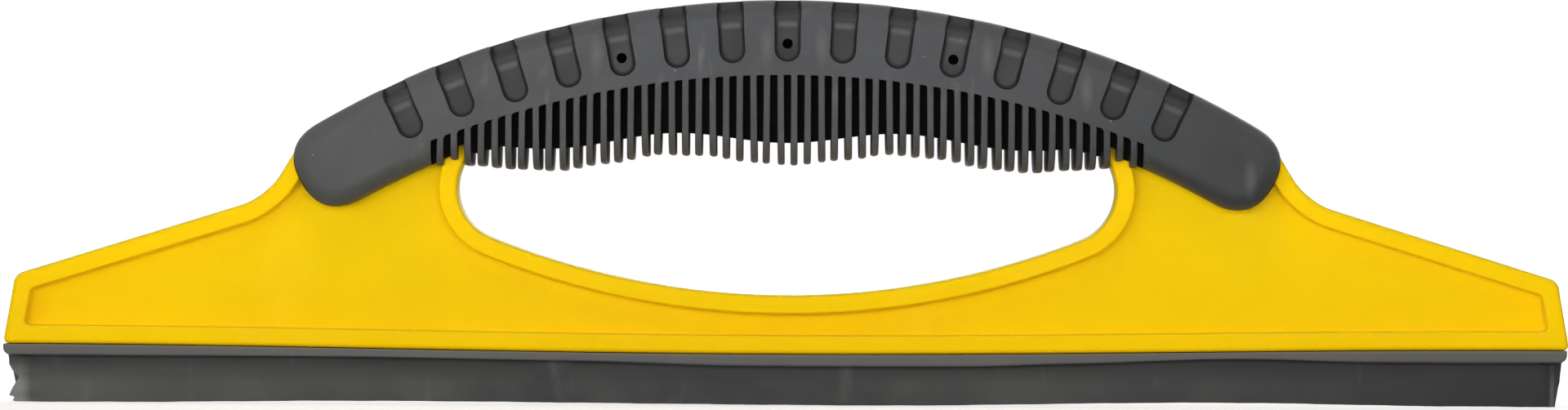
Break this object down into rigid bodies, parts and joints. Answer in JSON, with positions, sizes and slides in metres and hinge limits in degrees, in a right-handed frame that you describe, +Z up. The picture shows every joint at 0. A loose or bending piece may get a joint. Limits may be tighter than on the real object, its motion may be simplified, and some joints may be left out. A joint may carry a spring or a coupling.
{
  "type": "windscreen squeegee",
  "caption": "Hand squeegee for windscreens: yellow ribbed frame with a hand opening, arched soft grip with thumb pockets and finger fins, and a rubber lip that flexes in a base strip.",
  "frame": {"origin": "mid length on the wiping edge of the lip", "axes": "+X along the blade, +Y towards the rear face, +Z up from the lip to the grip"},
  "size_m": [0.301, 0.022, 0.0779],
  "materials": {
    "frame_plastic": "moulded, satin gloss",
    "grip_rubber": "soft moulded, matt",
    "base_rubber": "soft moulded, matt",
    "lip_rubber": "soft moulded, smooth"
  },
  "bodies": {
    "handle": {"frame": "frame_plastic", "grip": "grip_rubber", "blade_base": "base_rubber"},
    "lip": {"blade_lip": "lip_rubber"}
  },
  "joints": [
    {"name": "lip_flex", "type": "hinge", "parent": "handle", "child": "lip", "pos_m": [0, 0, 0.0108], "axis": [1, 0, 0], "range_deg": [-25, 25], "stiffness_Nm_per_rad": 0.15}
  ]
}
